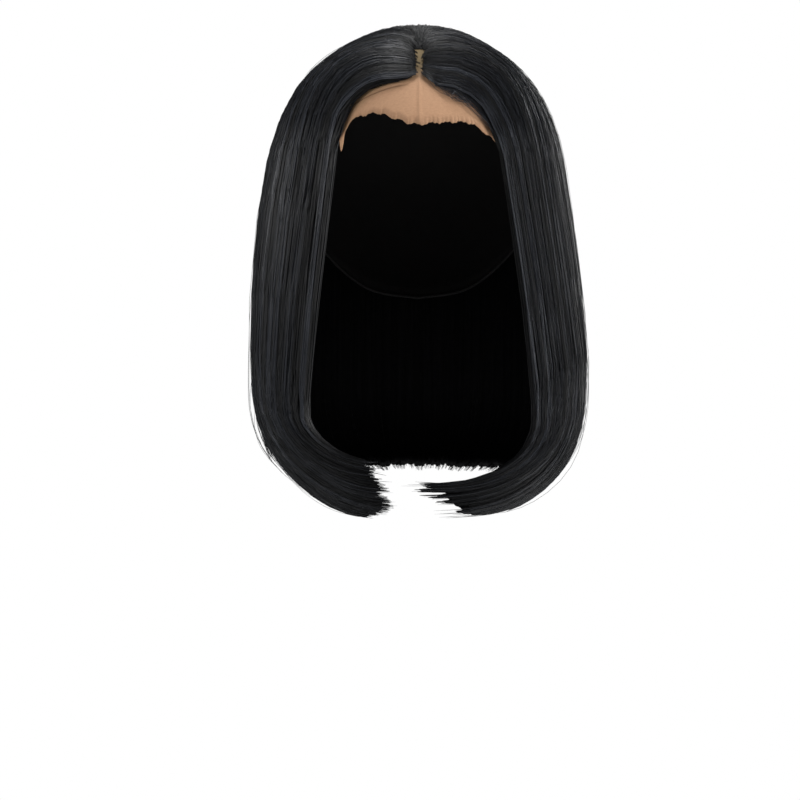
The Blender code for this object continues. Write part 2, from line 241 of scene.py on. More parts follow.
class Graph:
    """Adds shader or geometry nodes to a tree and links them by socket."""

    def __init__(self, tree):
        self.tree = tree

    def node(self, kind, inputs=None, **settings):
        made = self.tree.nodes.new(kind)
        for name, value in settings.items():
            setattr(made, name, value)
        for key, value in (inputs or {}).items():
            socket = made.inputs[key]
            if isinstance(value, bpy.types.NodeSocket):
                self.tree.links.new(value, socket)
            else:
                socket.default_value = value
        return made

    def math(self, operation, first, second=None, third=None):
        values = {k: v for k, v in enumerate((first, second, third)) if v is not None}
        return self.node("ShaderNodeMath", values, operation=operation).outputs[0]

    def ramp(self, value, start, end, low=0.0, high=1.0):
        """value from start to end, remapped with soft ends."""
        return self.node(
            "ShaderNodeMapRange",
            {"Value": value, "From Min": start, "From Max": end, "To Min": low, "To Max": high},
            interpolation_type="SMOOTHSTEP",
        ).outputs["Result"]

    def colour(self, share, first, second):
        """A colour at a share of the way from the first to the second."""
        ends = {k: (*end, 1) if isinstance(end, tuple) else end for k, end in ((6, first), (7, second))}
        return self.node("ShaderNodeMix", {0: share, **ends}, data_type="RGBA").outputs[2]

    def noise(self, scale, detail, **settings):
        """Soft random patches, on the object's own space unless a vector is given."""
        return self.node("ShaderNodeTexNoise", {"Scale": scale, "Detail": detail, **settings}).outputs["Fac"]

    def finish(self, shader, colour, height, strength, distance):
        """Gives a shader its colour and a bump."""
        bump = self.node("ShaderNodeBump", {"Height": height, "Strength": strength, "Distance": distance})
        self.tree.links.new(colour, shader.inputs["Base Color"])
        self.tree.links.new(bump.outputs["Normal"], shader.inputs["Normal"])


def new_material(name, roughness, specular):
    """A material with a Principled shader, and the graph that feeds it."""
    made = bpy.data.materials.new(name)
    made.use_nodes = True
    shader = made.node_tree.nodes["Principled BSDF"]
    shader.inputs["Roughness"].default_value = roughness
    shader.inputs["Specular IOR Level"].default_value = specular
    return made, Graph(made.node_tree), shader


def net_threads(graph, pitch, thread_share):
    """1 on the threads of a diamond net on the UV map, 0 in its holes."""
    uv = graph.node("ShaderNodeUVMap", uv_map="flow").outputs["UV"]
    apart = graph.node("ShaderNodeSeparateXYZ", {0: uv}).outputs
    across, along = apart[0], apart[1]
    threads = []
    for lean in (1.0, -1.0):
        line = graph.math("MULTIPLY_ADD", along, lean, across)
        phase = graph.math("PINGPONG", line, pitch / 2)
        threads.append(graph.math("LESS_THAN", phase, pitch * thread_share / 2))
    return graph.math("MAXIMUM", threads[0], threads[1])


cap_azimuth = np.radians(np.arange(CAP_COLUMNS) * 360 / CAP_COLUMNS - 180)
cap_reach = np.radians(read_table(CAP_EDGE, "azimuth", "down", np.abs(np.degrees(cap_azimuth))))
cap_share = np.linspace(0.03, 1.0, CAP_ROWS)
cap_down = cap_share[None, :] * cap_reach[:, None]
cap_uv = np.stack([
    np.broadcast_to(cap_azimuth[:, None] * CAP_HALF_WIDTH, cap_down.shape),
    cap_down * CAP_RISE,
], axis=-1)
net_cap = add_skin(
    "net_cap",
    on_cap(cap_azimuth[:, None], cap_down, CAP_WALL),
    on_cap(cap_azimuth[:, None], cap_down, 0.0),
    cap_uv, closed_round=2 * math.pi * CAP_HALF_WIDTH, crown=True,
)
cap_net, graph, shader = new_material("black_stretch_net", 0.8, 0.25)
threads = net_threads(graph, NET_PITCH, THREAD_SHARE)
weave = graph.noise(900.0, 2.0)
shade = graph.math("MULTIPLY", graph.math("ADD", threads, weave), 0.5)
colour = graph.colour(shade, (0.003, 0.003, 0.003), (0.022, 0.021, 0.022))
graph.finish(shader, colour, threads, 0.6, 0.0003)
net_cap.data.materials.append(cap_net)
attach(net_cap, "root")
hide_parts("cap")

# Cap binding: a narrow black elastic with a fine rib, sewn over the whole edge of the cap.
# It keeps the edge from stretching out.
BINDING_RADIUS = 0.0011
BINDING_SIDES = 8
BINDING_RIB = 0.0010
edge = on_cap(cap_azimuth, cap_reach, CAP_WALL / 2)
edge_along = unit(np.roll(edge, -1, axis=0) - np.roll(edge, 1, axis=0))
edge_out = unit(on_cap(cap_azimuth, cap_reach, 0.01) - edge)
edge_side = unit(np.cross(edge_along, edge_out))
ring = np.radians(np.arange(BINDING_SIDES) * 360 / BINDING_SIDES)[None, :, None]
round_edge = edge_out[:, None] * np.cos(ring) + edge_side[:, None] * np.sin(ring)
binding_points = edge[:, None] + BINDING_RADIUS * round_edge
binding_faces = []
for i in range(CAP_COLUMNS):
    for j in range(BINDING_SIDES):
        here, there = i * BINDING_SIDES, (i + 1) % CAP_COLUMNS * BINDING_SIDES
        after = (j + 1) % BINDING_SIDES
        binding_faces.append((here + j, here + after, there + after, there + j))
binding = add_plain_object("cap_binding", binding_points.reshape(-1, 3), binding_faces)
binding.data.shade_smooth()
elastic, graph, shader = new_material("black_elastic", 0.75, 0.2)
spot = graph.node("ShaderNodeTexCoord").outputs["Object"]
weave = graph.node("ShaderNodeTexVoronoi", {"Vector": spot, "Scale": 1.0 / BINDING_RIB}).outputs["Distance"]
colour = graph.colour(weave, (0.016, 0.015, 0.016), (0.005, 0.005, 0.005))
graph.finish(shader, colour, weave, 0.5, 0.0003)
binding.data.materials.append(elastic)
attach(binding, "root")
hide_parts("cap")

# Lace front: one panel of sheer tan net, sewn to the front of the cap. The hairline is knotted to it.
# Its free lower edge is cut with small uneven teeth, and a tail of it hangs loose at its right end.
LACE_WALL = 0.0004
LACE_EDGE = (
    {"azimuth": -45, "down": 72},
    {"azimuth": -40.5, "down": 72.5},
    {"azimuth": -38.8, "down": 77},
    {"azimuth": -37.4, "down": 82.5},
    {"azimuth": -36.2, "down": 77},
    {"azimuth": -35.0, "down": 73},
    {"azimuth": -32.4, "down": 69},
    {"azimuth": -29, "down": 68},
    {"azimuth": -20, "down": 67},
    {"azimuth": -7, "down": 71},
    {"azimuth": 0, "down": 72},
    {"azimuth": 12, "down": 71},
    {"azimuth": 23, "down": 71},
    {"azimuth": 31, "down": 75},
    {"azimuth": 38, "down": 80},
    {"azimuth": 45, "down": 87},
)
LACE_HALF_SPAN = 45
LACE_COLUMNS = 320
LACE_ROWS = 13
LACE_PITCH = 0.0009
LACE_THREAD_SHARE = 0.62
TOOTH_WIDTH = 0.62
TOOTH_DEPTH = 0.85
TAIL_AZIMUTH = -37.4
TAIL_STARTS = 72.0
FOLD_DOWN = 0.0799
FOLD_BEND = 4.12
# The lace turns olive between these: the cap under it, and painted shade between the hair.
BACKING_SHADE_FRONT_Y = -0.078
BACKING_SHADE_BACK_Y = -0.066
lace_azimuth = np.linspace(-LACE_HALF_SPAN, LACE_HALF_SPAN, LACE_COLUMNS)
tooth_at = np.arange(-LACE_HALF_SPAN, LACE_HALF_SPAN + 1, TOOTH_WIDTH)
tooth_height = np.random.default_rng(17).uniform(-0.5, 0.5, len(tooth_at)) * TOOTH_DEPTH
teeth = np.interp(lace_azimuth, tooth_at, tooth_height) + 0.35 * np.sin(lace_azimuth * 0.9)
lace_low = read_table(LACE_EDGE, "azimuth", "down", lace_azimuth) + teeth
lace_top = read_table(CAP_EDGE, "azimuth", "down", np.abs(lace_azimuth)) + 0.6
lace_share = np.linspace(0.0, 1.0, LACE_ROWS)
lace_down = np.radians(lace_top[:, None] + (lace_low - lace_top)[:, None] * lace_share[None, :])
lace_angle = np.radians(lace_azimuth)[:, None]
crease = 0.0005 * np.exp(-(lace_azimuth[:, None] / 0.9) ** 2) * ease(lace_share[None, :] * 3 - 1.2)
tail = np.exp(-((lace_azimuth[:, None] - TAIL_AZIMUTH) / 2.2) ** 4)
tail = tail * ease((np.degrees(lace_down) - TAIL_STARTS) / 8)
lace_lift = 0.0003 + crease + 0.0030 * tail
lace_angle = lace_angle + np.radians(2.8) * tail
lace_panel = add_skin(
    "lace_panel",
    on_cap(lace_angle, lace_down, lace_lift + LACE_WALL),
    on_cap(lace_angle, lace_down, lace_lift),
    np.stack([lace_angle * CAP_HALF_LENGTH, lace_down * CAP_RISE], axis=-1),
)
tan_lace, graph, shader = new_material("sheer_tan_lace", 0.7, 0.2)
threads = net_threads(graph, LACE_PITCH, LACE_THREAD_SHARE)
colour = graph.colour(graph.noise(55.0, 3.0), (0.42, 0.235, 0.135), (0.56, 0.335, 0.20))
# At the parting the lace lies over the dark cap and is painted a darker olive there: partly the cap under it, partly
# painted shade between the hair.
spot = graph.node("ShaderNodeSeparateXYZ", {0: graph.node("ShaderNodeTexCoord").outputs["Object"]}).outputs
backing_and_shade = graph.ramp(spot[1], BACKING_SHADE_FRONT_Y, BACKING_SHADE_BACK_Y, 0.0, 0.85)
colour = graph.colour(backing_and_shade, colour, (0.245, 0.190, 0.090))
graph.tree.links.new(graph.math("MULTIPLY_ADD", threads, 0.30, 0.64), shader.inputs["Alpha"])
# A fold was pressed into the lace, a little below the hairline on its right half. Its crease is a bump, with painted
# shade along it.
uv = graph.node("ShaderNodeUVMap", uv_map="flow").outputs["UV"]
laid = graph.node("ShaderNodeSeparateXYZ", {0: uv}).outputs
fold_at = graph.math("MULTIPLY_ADD", graph.math("MULTIPLY", laid[0], laid[0]), FOLD_BEND, FOLD_DOWN)
from_fold = graph.math("ABSOLUTE", graph.math("SUBTRACT", laid[1], fold_at))
on_right = graph.ramp(laid[0], -0.008, -0.020)
fold_and_shade = graph.math("MULTIPLY", graph.ramp(from_fold, 0.0009, 0.0, 0.0, 0.6), on_right)
# Painted shade along the crease.
colour = graph.colour(fold_and_shade, colour, (0.10, 0.050, 0.024))
graph.finish(shader, colour, graph.math("MULTIPLY_ADD", fold_and_shade, 4.0, threads), 0.5, 0.0002)
lace_panel.data.materials.append(tan_lace)
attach(lace_panel, "root")
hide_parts("lace_front")

# Hair: five sections of straight black fibre, parted in the middle and cut blunt.
# Each section is sewn to the cap in rows. Its ground is a sheet of locks, sunk below the strands.
HAIRLINE_Y = -0.0755
FAN_Y = -0.0472
PARTING = (
    {"y": -0.0755, "half_width": 0.0022},
    {"y": -0.0660, "half_width": 0.0025},
    {"y": -0.0560, "half_width": 0.0034},
    {"y": -0.0500, "half_width": 0.0031},
    {"y": -0.0472, "half_width": 0.0014},
)
FAN_RADIUS = 0.0014
HAIRLINE_BOW = (
    {"share": 0.0, -1: 0.0000, 1: 0.0000},
    {"share": 0.1, -1: -0.0018, 1: -0.0042},
    {"share": 0.2, -1: 0.0003, 1: -0.0026},
    {"share": 0.35, -1: 0.0033, 1: -0.0006},
    {"share": 0.5, -1: 0.0045, 1: 0.0012},
    {"share": 0.7, -1: 0.0046, 1: 0.0000},
    {"share": 0.85, -1: 0.0020, 1: 0.0000},
    {"share": 1.0, -1: 0.0000, 1: 0.0000},
)
COMBED_BACK = (
    {"place": 0.00, "reach": 0.0000},
    {"place": 0.05, "reach": 0.0060},
    {"place": 0.12, "reach": 0.0120},
    {"place": 0.20, "reach": 0.0125},
    {"place": 0.35, "reach": 0.0070},
    {"place": 0.60, "reach": 0.0000},
    {"place": 1.00, "reach": 0.0000},
)
FAN_PLACE = 0.18
FRONT_ENDS = 0.27
SIDE_ENDS = 0.64
DOME_DEPTH = (
    {"share": 0.0, "hairline": 0.0014, "crown": 0.0026},
    {"share": 0.1, "hairline": 0.0034, "crown": 0.0048},
    {"share": 0.2, "hairline": 0.0050, "crown": 0.0052},
    {"share": 0.3, "hairline": 0.0062, "crown": 0.0048},
    {"share": 0.4, "hairline": 0.0074, "crown": 0.0058},
    {"share": 0.6, "hairline": 0.0090, "crown": 0.0082},
    {"share": 0.8, "hairline": 0.0102, "crown": 0.0097},
    {"share": 1.0, "hairline": 0.0109, "crown": 0.0109},
)
LIFT_AT_ROOT = 0.0024
LIFT_AT_WIDEST = 0.0042
LIFT_STARTS = 0.5
FALL = (
    {"z": -0.085, "width": 0.0785, "front": 0.1002, "back": 0.1002, "depth": 0.0109, "edge": 37},
    {"z": -0.118, "width": 0.0835, "front": 0.0975, "back": 0.1010, "depth": 0.0109, "edge": 39},
    {"z": -0.150, "width": 0.0865, "front": 0.0965, "back": 0.0995, "depth": 0.0110, "edge": 41},
    {"z": -0.190, "width": 0.0885, "front": 0.0955, "back": 0.0950, "depth": 0.0104, "edge": 45},
    {"z": -0.225, "width": 0.0872, "front": 0.0955, "back": 0.0895, "depth": 0.0093, "edge": 47},
)
FRONT_EDGE_SHARE = 0.45
FRONT_EDGE_WIDTH = 0.10
FULLNESS = (
    {"z": 0.000, -1: 1.00, 1: 0.96},
    {"z": -0.030, -1: 1.20, 1: 0.76},
    {"z": -0.047, -1: 1.06, 1: 0.60},
    {"z": -0.064, -1: 1.02, 1: 0.56},
    {"z": -0.085, -1: 1.18, 1: 0.64},
    {"z": -0.118, -1: 1.28, 1: 0.70},
    {"z": -0.150, -1: 1.15, 1: 0.84},
    {"z": -0.190, -1: 0.97, 1: 1.04},
)
SWEEP = {
    -1: {"upper_tip": (-0.0240, -0.0640, -0.2485), "lower_tip": (-0.0190, -0.0600, -0.2895), "roundness": 1.09},
    1: {"upper_tip": (0.0030, -0.0640, -0.2605), "lower_tip": (0.0250, -0.0600, -0.2870), "roundness": 0.86},
}
SWEEP_UPPER_Z = -0.220
SWEEP_LOWER_Z = -0.200
SWEEP_TIP_DEPTH = {"upper": 0.0060, "lower": 0.0085}
BLEND_STARTS = 0.15
BLEND_ENDS = 0.46
TURN_UNDER_Z = -0.206
TURN_UNDER_REACH = {"side": 0.017, "back": 0.026}
TURN_UNDER_DROP = {"side": 0.049, "back": 0.044}
TURN_UNDER_ANGLE = math.radians(68)
TURN_UNDER_TIP_DEPTH = 0.0060
DOME_SHARES = np.linspace(0.0, 1.0, 25)
FALL_SHARES = np.linspace(0.0, 1.0, 8)[1:-1]
CURL_SHARES = np.linspace(0.0, 1.0, 22)
HALF_GIRTH = 0.280
EVENED_ROWS = (19, 30)
EVENING_ROUNDS = 6


def root_of(place):
    """Where strands leave the parting, or the fan at its end, seen from above on the +X side."""
    y = mix(HAIRLINE_Y, FAN_Y, np.clip(place / FAN_PLACE, -0.2, 1.0))
    turn = np.radians(mix(90, 180, np.clip((place - FAN_PLACE) / (1 - FAN_PLACE), 0, 1.2)))
    half = np.where(place < FAN_PLACE, read_table(PARTING, "y", "half_width", y), FAN_RADIUS)
    return half * np.sin(turn), y - FAN_RADIUS * np.cos(turn)


def in_fan(place):
    """1 for strands that start at the fan behind the open parting, 0 for those that start beside it."""
    return ease((place - FAN_PLACE + 0.02) / 0.04)


def azimuth_of(place, z):
    """Azimuth of a place at a level: the front edge drifts outwards as the hair falls."""
    return np.radians(mix(read_table(FALL, "z", "edge", z), 180, place))


def fullness(side, place, z):
    """The hair thins towards its front edge. The sides differ, and agree at the middle of the back."""
    of_side = mix(read_table(FULLNESS, "z", side, z), 1.0, ease(place))
    return mix(FRONT_EDGE_SHARE, 1.0, ease(place / FRONT_EDGE_WIDTH)) * of_side


def dome_rows(side, place, outwards):
    """Strands over the cap, from the root to its widest level."""
    share = DOME_SHARES[None, :]
    place = place[:, None]
    lift = mix(LIFT_AT_ROOT, LIFT_AT_WIDEST, ease((share - LIFT_STARTS) / (1 - LIFT_STARTS)))
    half_width, half_length = CAP_HALF_WIDTH + lift, CAP_HALF_LENGTH + lift
    rise = CAP_RISE + lift
    azimuth = azimuth_of(place, WIDEST_Z)
    along = np.sin(share * math.pi / 2)
    root_x, root_y = root_of(place)
    bow = read_table(HAIRLINE_BOW, "share", side, share) * (1 - ease(place / FRONT_ENDS))
    combed = read_table(COMBED_BACK, "place", "reach", place)
    combed = combed * np.sin(math.pi * share**0.65) * (1 - ease(share * 2 - 1))
    x = mix(root_x, half_width * np.sin(azimuth), along)
    y = mix(root_y, -half_length * np.cos(azimuth), along) + bow + combed
    z = WIDEST_Z + rise * np.sqrt(np.maximum(0.0, 1 - (x / half_width) ** 2 - (y / half_length) ** 2))
    normal = unit(np.stack([x / half_width**2, y / half_length**2, (z - WIDEST_Z) / rise**2], axis=-1))
    at_hairline = read_table(DOME_DEPTH, "share", "hairline", share)
    at_crown = read_table(DOME_DEPTH, "share", "crown", share)
    depth = mix(at_hairline, at_crown, ease(place / 0.3)) * fullness(side, place, z)
    points = np.stack([x, y, z], axis=-1) + normal * (depth * outwards)[..., None]
    return points * np.array([side, 1.0, 1.0])


def sections_at(side, place, z):
    """Points on the inner face of the hanging hair, their outward normals and the depth of hair."""
    azimuth = azimuth_of(place, z)
    half_width = read_table(FALL, "z", "width", z)
    front = read_table(FALL, "z", "front", z)
    back = read_table(FALL, "z", "back", z)
    reach = np.where(azimuth < math.pi / 2, front, back)
    points = np.stack([side * half_width * np.sin(azimuth), -reach * np.cos(azimuth), z + 0 * azimuth], axis=-1)
    normal = unit(np.stack([side * np.sin(azimuth) / half_width, -np.cos(azimuth) / reach, 0 * azimuth], axis=-1))
    return points, normal, read_table(FALL, "z", "depth", z) * fullness(side, place, z)


def sweep_rows(side, place, outwards):
    """The front curtain's end: down, then inwards to its blunt tip."""
    across = np.minimum(1.0, place / FRONT_ENDS)
    start, normal, depth = sections_at(side, place, mix(SWEEP_UPPER_Z, SWEEP_LOWER_Z, across))
    upper, lower = np.array(SWEEP[side]["upper_tip"]), np.array(SWEEP[side]["lower_tip"])
    way = mix(upper, lower, across[:, None]) - start
    tip_depth = mix(SWEEP_TIP_DEPTH["upper"], SWEEP_TIP_DEPTH["lower"], ease(across))
    share = CURL_SHARES[None, :, None]
    angle = share * math.pi / 2
    inwards = 1 - np.cos(angle) ** SWEEP[side]["roundness"]
    downwards = np.sin(angle) ** SWEEP[side]["roundness"]
    facing = unit(mix(normal[:, None], np.array([0.0, -1.0, 0.0]), ease(share)))
    here = mix(depth[:, None, None], tip_depth[:, None, None], share)
    moved = way[:, None] * np.concatenate([inwards, inwards, downwards], axis=-1)
    return start[:, None] + moved + facing * here * outwards


def turn_under_rows(side, place, outwards):
    """The end of the side and back hair: down, then curved in."""
    behind = ease(place)[:, None, None]
    reach = mix(TURN_UNDER_REACH["side"], TURN_UNDER_REACH["back"], behind)
    drop = mix(TURN_UNDER_DROP["side"], TURN_UNDER_DROP["back"], behind)
    start, normal, depth = sections_at(side, place, TURN_UNDER_Z + 0 * place)
    share = CURL_SHARES[None, :, None]
    angle = share * TURN_UNDER_ANGLE
    facing = unit(normal[:, None] * np.cos(angle) - np.array([0, 0, 1.0]) * np.sin(angle))
    here = mix(depth[:, None, None], TURN_UNDER_TIP_DEPTH, share)
    inwards = reach * (1 - np.cos(angle)) / (1 - math.cos(TURN_UNDER_ANGLE))
    downwards = drop * np.sin(angle) / math.sin(TURN_UNDER_ANGLE)
    return start[:, None] - normal[:, None] * inwards - np.array([0, 0, 1.0]) * downwards + facing * here * outwards


def strand_rows(side, place, outwards):
    """Strands from root to tip at an array of places on one side: an array of places by rows by 3."""
    turned = ease((place - BLEND_STARTS) / (BLEND_ENDS - BLEND_STARTS))[:, None, None]
    curl = mix(sweep_rows(side, place, outwards), turn_under_rows(side, place, outwards), turned)
    dome = dome_rows(side, place, outwards)
    level = mix(WIDEST_Z, curl[:, 0, 2][:, None], FALL_SHARES[None, :])
    points, normal, depth = sections_at(side, np.broadcast_to(place[:, None], level.shape), level)
    fall = points + normal * (depth * outwards)[..., None]
    rows = np.concatenate([dome, fall, curl], axis=1)
    first, last = EVENED_ROWS
    for _ in range(EVENING_ROUNDS):
        beside = rows[:, first - 1:last - 1] + rows[:, first + 1:last + 1]
        rows[:, first:last] = (beside + 2 * rows[:, first:last]) / 4
    return rows


def smooth_noise(at, seed):
    """A smooth random wave with values from about -1 to 1, the same each time for its seed."""
    draw = np.random.default_rng(seed)
    total = np.zeros(np.shape(at))
    for octave in range(4):
        wave = np.asarray(at) * draw.uniform(0.6, 1.6) * (1 + octave) + draw.uniform(0, 6.3)
        total = total + np.sin(wave) / (1 + octave)
    return total / 1.6


LOCKS = (
    {"width": 0.0125, "height": 0.0013, "seed": 41},
    {"width": 0.0048, "height": 0.0011, "seed": 42},
    {"width": 0.0018, "height": 0.0006, "seed": 43},
)
DRIFT = 0.0022
DRIFT_LENGTH = 0.018


def in_locks(position, lock):
    """How far each position is from its lock's middle, from -1 to 1, with the lock's number and half width."""
    draw = np.random.default_rng(lock["seed"])
    edges = np.cumsum(lock["width"] * draw.uniform(0.5, 1.6, 900)) - 320 * lock["width"]
    number = np.clip(np.searchsorted(edges, position) - 1, 0, len(edges) - 2)
    half = (edges[number + 1] - edges[number]) / 2
    return (position - edges[number]) / half - 1, number, half


def hair_sheet(side, place, layer):
    """Rows of strands at an array of places, in a layer between the inner face 0 and the outer face 1.

    Also gives the way across for each metre of girth, the way out, and the depth of the hair.
    """
    step = 0.002
    inner = strand_rows(side, place, 0.0)
    outer = strand_rows(side, place, 1.0)
    beside = strand_rows(side, place + step, 1.0)
    across = (beside - outer) * side / (step * HALF_GIRTH)
    out = unit(outer - inner)
    depth = np.linalg.norm(outer - inner, axis=-1)
    down = np.linspace(0, 1, inner.shape[1])[None, :]
    position = (side * place * HALF_GIRTH)[:, None]
    relief = 0.0
    for lock in LOCKS:
        away, number, half = in_locks(position, lock)
        swell = 0.75 + 0.25 * smooth_noise(down * 6 + number * 2.3, lock["seed"])
        relief = relief + lock["height"] * swell * (np.sqrt(np.maximum(0.0, 1 - away**2)) - 0.75)
    held = np.minimum(1.0, depth / 0.006) * ease(down * 14)
    drift = DRIFT * ease(down * 3) * smooth_noise(position / DRIFT_LENGTH + down * 3, 5)
    points = mix(inner, outer, layer) + out * (relief * held)[..., None] * layer + across * drift[..., None]
    return points, across, out, depth


def for_each_lock(number, seed, low, high):
    """A random value for each lock, looked up by the lock numbers."""
    return np.random.default_rng(seed).uniform(low, high, 1000)[number]


RAGGED_ROWS = (0.35, 1.15, 0.5)
UPPER_CORNER_ROWS = {-1: 2.4, 1: 0.0}
LOWER_CORNER_ROWS = {-1: -0.3, 1: 2.0}


def cut_rows(side, place):
    """How many rows short of the last one strands are cut: by locks, and by the slant of the front's end."""
    short = UPPER_CORNER_ROWS[side] * (1 - ease(place / 0.06))
    short = short + LOWER_CORNER_ROWS[side] * ease((place - 0.03) / 0.17) * (1 - ease((place - 0.29) / 0.12))
    for lock, ragged in zip(LOCKS, RAGGED_ROWS):
        number = in_locks(side * place * HALF_GIRTH, lock)[1]
        ragged = ragged * mix(1.0, 0.5, ease((place - 0.3) / 0.3))
        short = short + ragged * for_each_lock(number, lock["seed"] + 90, -1.0, 1.0)
    return short


SECTIONS = (
    {"name": "front_right", "node": "front_curtain_right", "spans": ((-1, 0.0, FRONT_ENDS),), "columns": 100},
    {"name": "front_left", "node": "front_curtain_left", "spans": ((1, 0.0, FRONT_ENDS),), "columns": 100},
    {"name": "side_right", "node": "side_fall_right", "spans": ((-1, FRONT_ENDS, SIDE_ENDS),), "columns": 106},
    {"name": "side_left", "node": "side_fall_left", "spans": ((1, FRONT_ENDS, SIDE_ENDS),), "columns": 106},
    {"name": "back", "node": "back_fall", "spans": ((-1, SIDE_ENDS, 1.0), (1, 1.0, SIDE_ENDS)), "columns": 170},
)
GROUND_SINK = 0.0016
GROUND_CUT = 0.0030
GROUND_ROW = 0.0030
GROUND_ROWS = np.r_[0, 1, 2, 4, 7:53:3]
FAN_SINK = np.array([0.0015, 0.0009, 0.0004])


def add_streaks(graph, shader):
    """Long fine streaks on the UV map: colour and bump of fibre laid side by side."""
    uv = graph.node("ShaderNodeUVMap", uv_map="flow").outputs["UV"]
    stretched = graph.node("ShaderNodeMapping", {"Vector": uv, "Scale": (1.0, 0.02, 1.0)}).outputs["Vector"]
    fine = graph.noise(2600.0, 3.0, Vector=stretched)
    broad = graph.noise(420.0, 2.0, Vector=stretched)
    blend = graph.math("MULTIPLY", graph.math("ADD", fine, broad), 0.5)
    # These colours lie well below the strands': painted shade of the hair that lies under them.
    colour = graph.colour(graph.ramp(blend, 0.35, 0.68), (0.0012, 0.0013, 0.0016), (0.0060, 0.0060, 0.0070))
    graph.finish(shader, colour, blend, 0.7, 0.0005)


# The ground is painted darker and duller than the strands: painted shade in the gaps between them.
shaded_black_ground, graph, shader = new_material("shaded_black_fibre_ground", 0.55, 0.08)
add_streaks(graph, shader)

for section in SECTIONS:
    outer, inner, uvs = [], [], []
    per_span = section["columns"] // len(section["spans"])
    for k, (side, first, last) in enumerate(section["spans"]):
        place = np.linspace(first, last, per_span, endpoint=k == len(section["spans"]) - 1)
        top, across, out, depth = hair_sheet(side, place, 1.0)
        under = hair_sheet(side, place, 0.0)[0]
        top = top - out * np.minimum(GROUND_SINK, depth * 0.5)[..., None]
        top = mix(under, top, mix(0.2, 1.0, ease(np.arange(top.shape[1]) / 5.0))[None, :, None])
        for grid in (top, under):
            grid[:, :3] -= out[:, :3] * in_fan(place)[:, None, None] * FAN_SINK[None, :, None]
        cut = GROUND_CUT + GROUND_ROW * cut_rows(side, place)
        for grid in (top, under):
            grid[:, -1] -= unit(grid[:, -1] - grid[:, -2]) * np.clip(cut, 0.0, 0.009)[:, None]
        top, under = top[:, GROUND_ROWS], under[:, GROUND_ROWS]
        run = np.cumsum(np.linalg.norm(np.diff(top, axis=1, prepend=top[:, :1]), axis=-1), axis=1)
        uvs.append(np.stack([np.broadcast_to(side * place[:, None] * HALF_GIRTH, run.shape), run], axis=-1))
        outer.append(top)
        inner.append(under)
    ground = add_skin(
        "ground_" + section["name"],
        np.concatenate(outer), np.concatenate(inner), np.concatenate(uvs),
    )
    ground.data.materials.append(shaded_black_ground)
    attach(ground, "root")
    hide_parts(section["node"])

# Strands: the outside of every section, and the tips below it, are single fibres laid in clumps.
# Guides follow the flow of the hair from root to tip, and each grows several strands beside it.
GUIDES = {"front": 195, "side": 190, "back": 204}
STRANDS_PER_GUIDE = 6
STRAND_SPREAD = 0.00055
STRAND_DEPTH = 0.0009
STRAND_WANDER = 0.0002
STRAND_RADIUS = 0.00021
STRAND_CUT = 0.028
STRAND_SEED = 11
KNOT_ROWS = np.r_[
    0, 0.6, 1.6, 3.4, 6.2, 9.0, 12.0, 15.0, 18.0, 21.2, 24.5, 27.5,
    30.5, 33.4, 36.2, 38.8, 41.2, 43.6, 46.0, 48.2, 50.2, 52.0,
]
TIP_KNOT_ROWS = np.linspace(31, 52, 11)
CURL_START_ROW = 31
# Painted shade taken off the strands' tone: towards the tips in the curl, more at the front of the right curtain, and
# at the roots.
TIP_SHADE = {-1: 0.45, 1: 0.15}
ROOT_SHADE = 0.32
RIM_GUIDES = 26
RIM_KNOT_ROWS = np.r_[3, 7, 11, 16, 21, 25, 28, 30.5, 32.5, 34.5, 37, 40, 44, 48, 52]


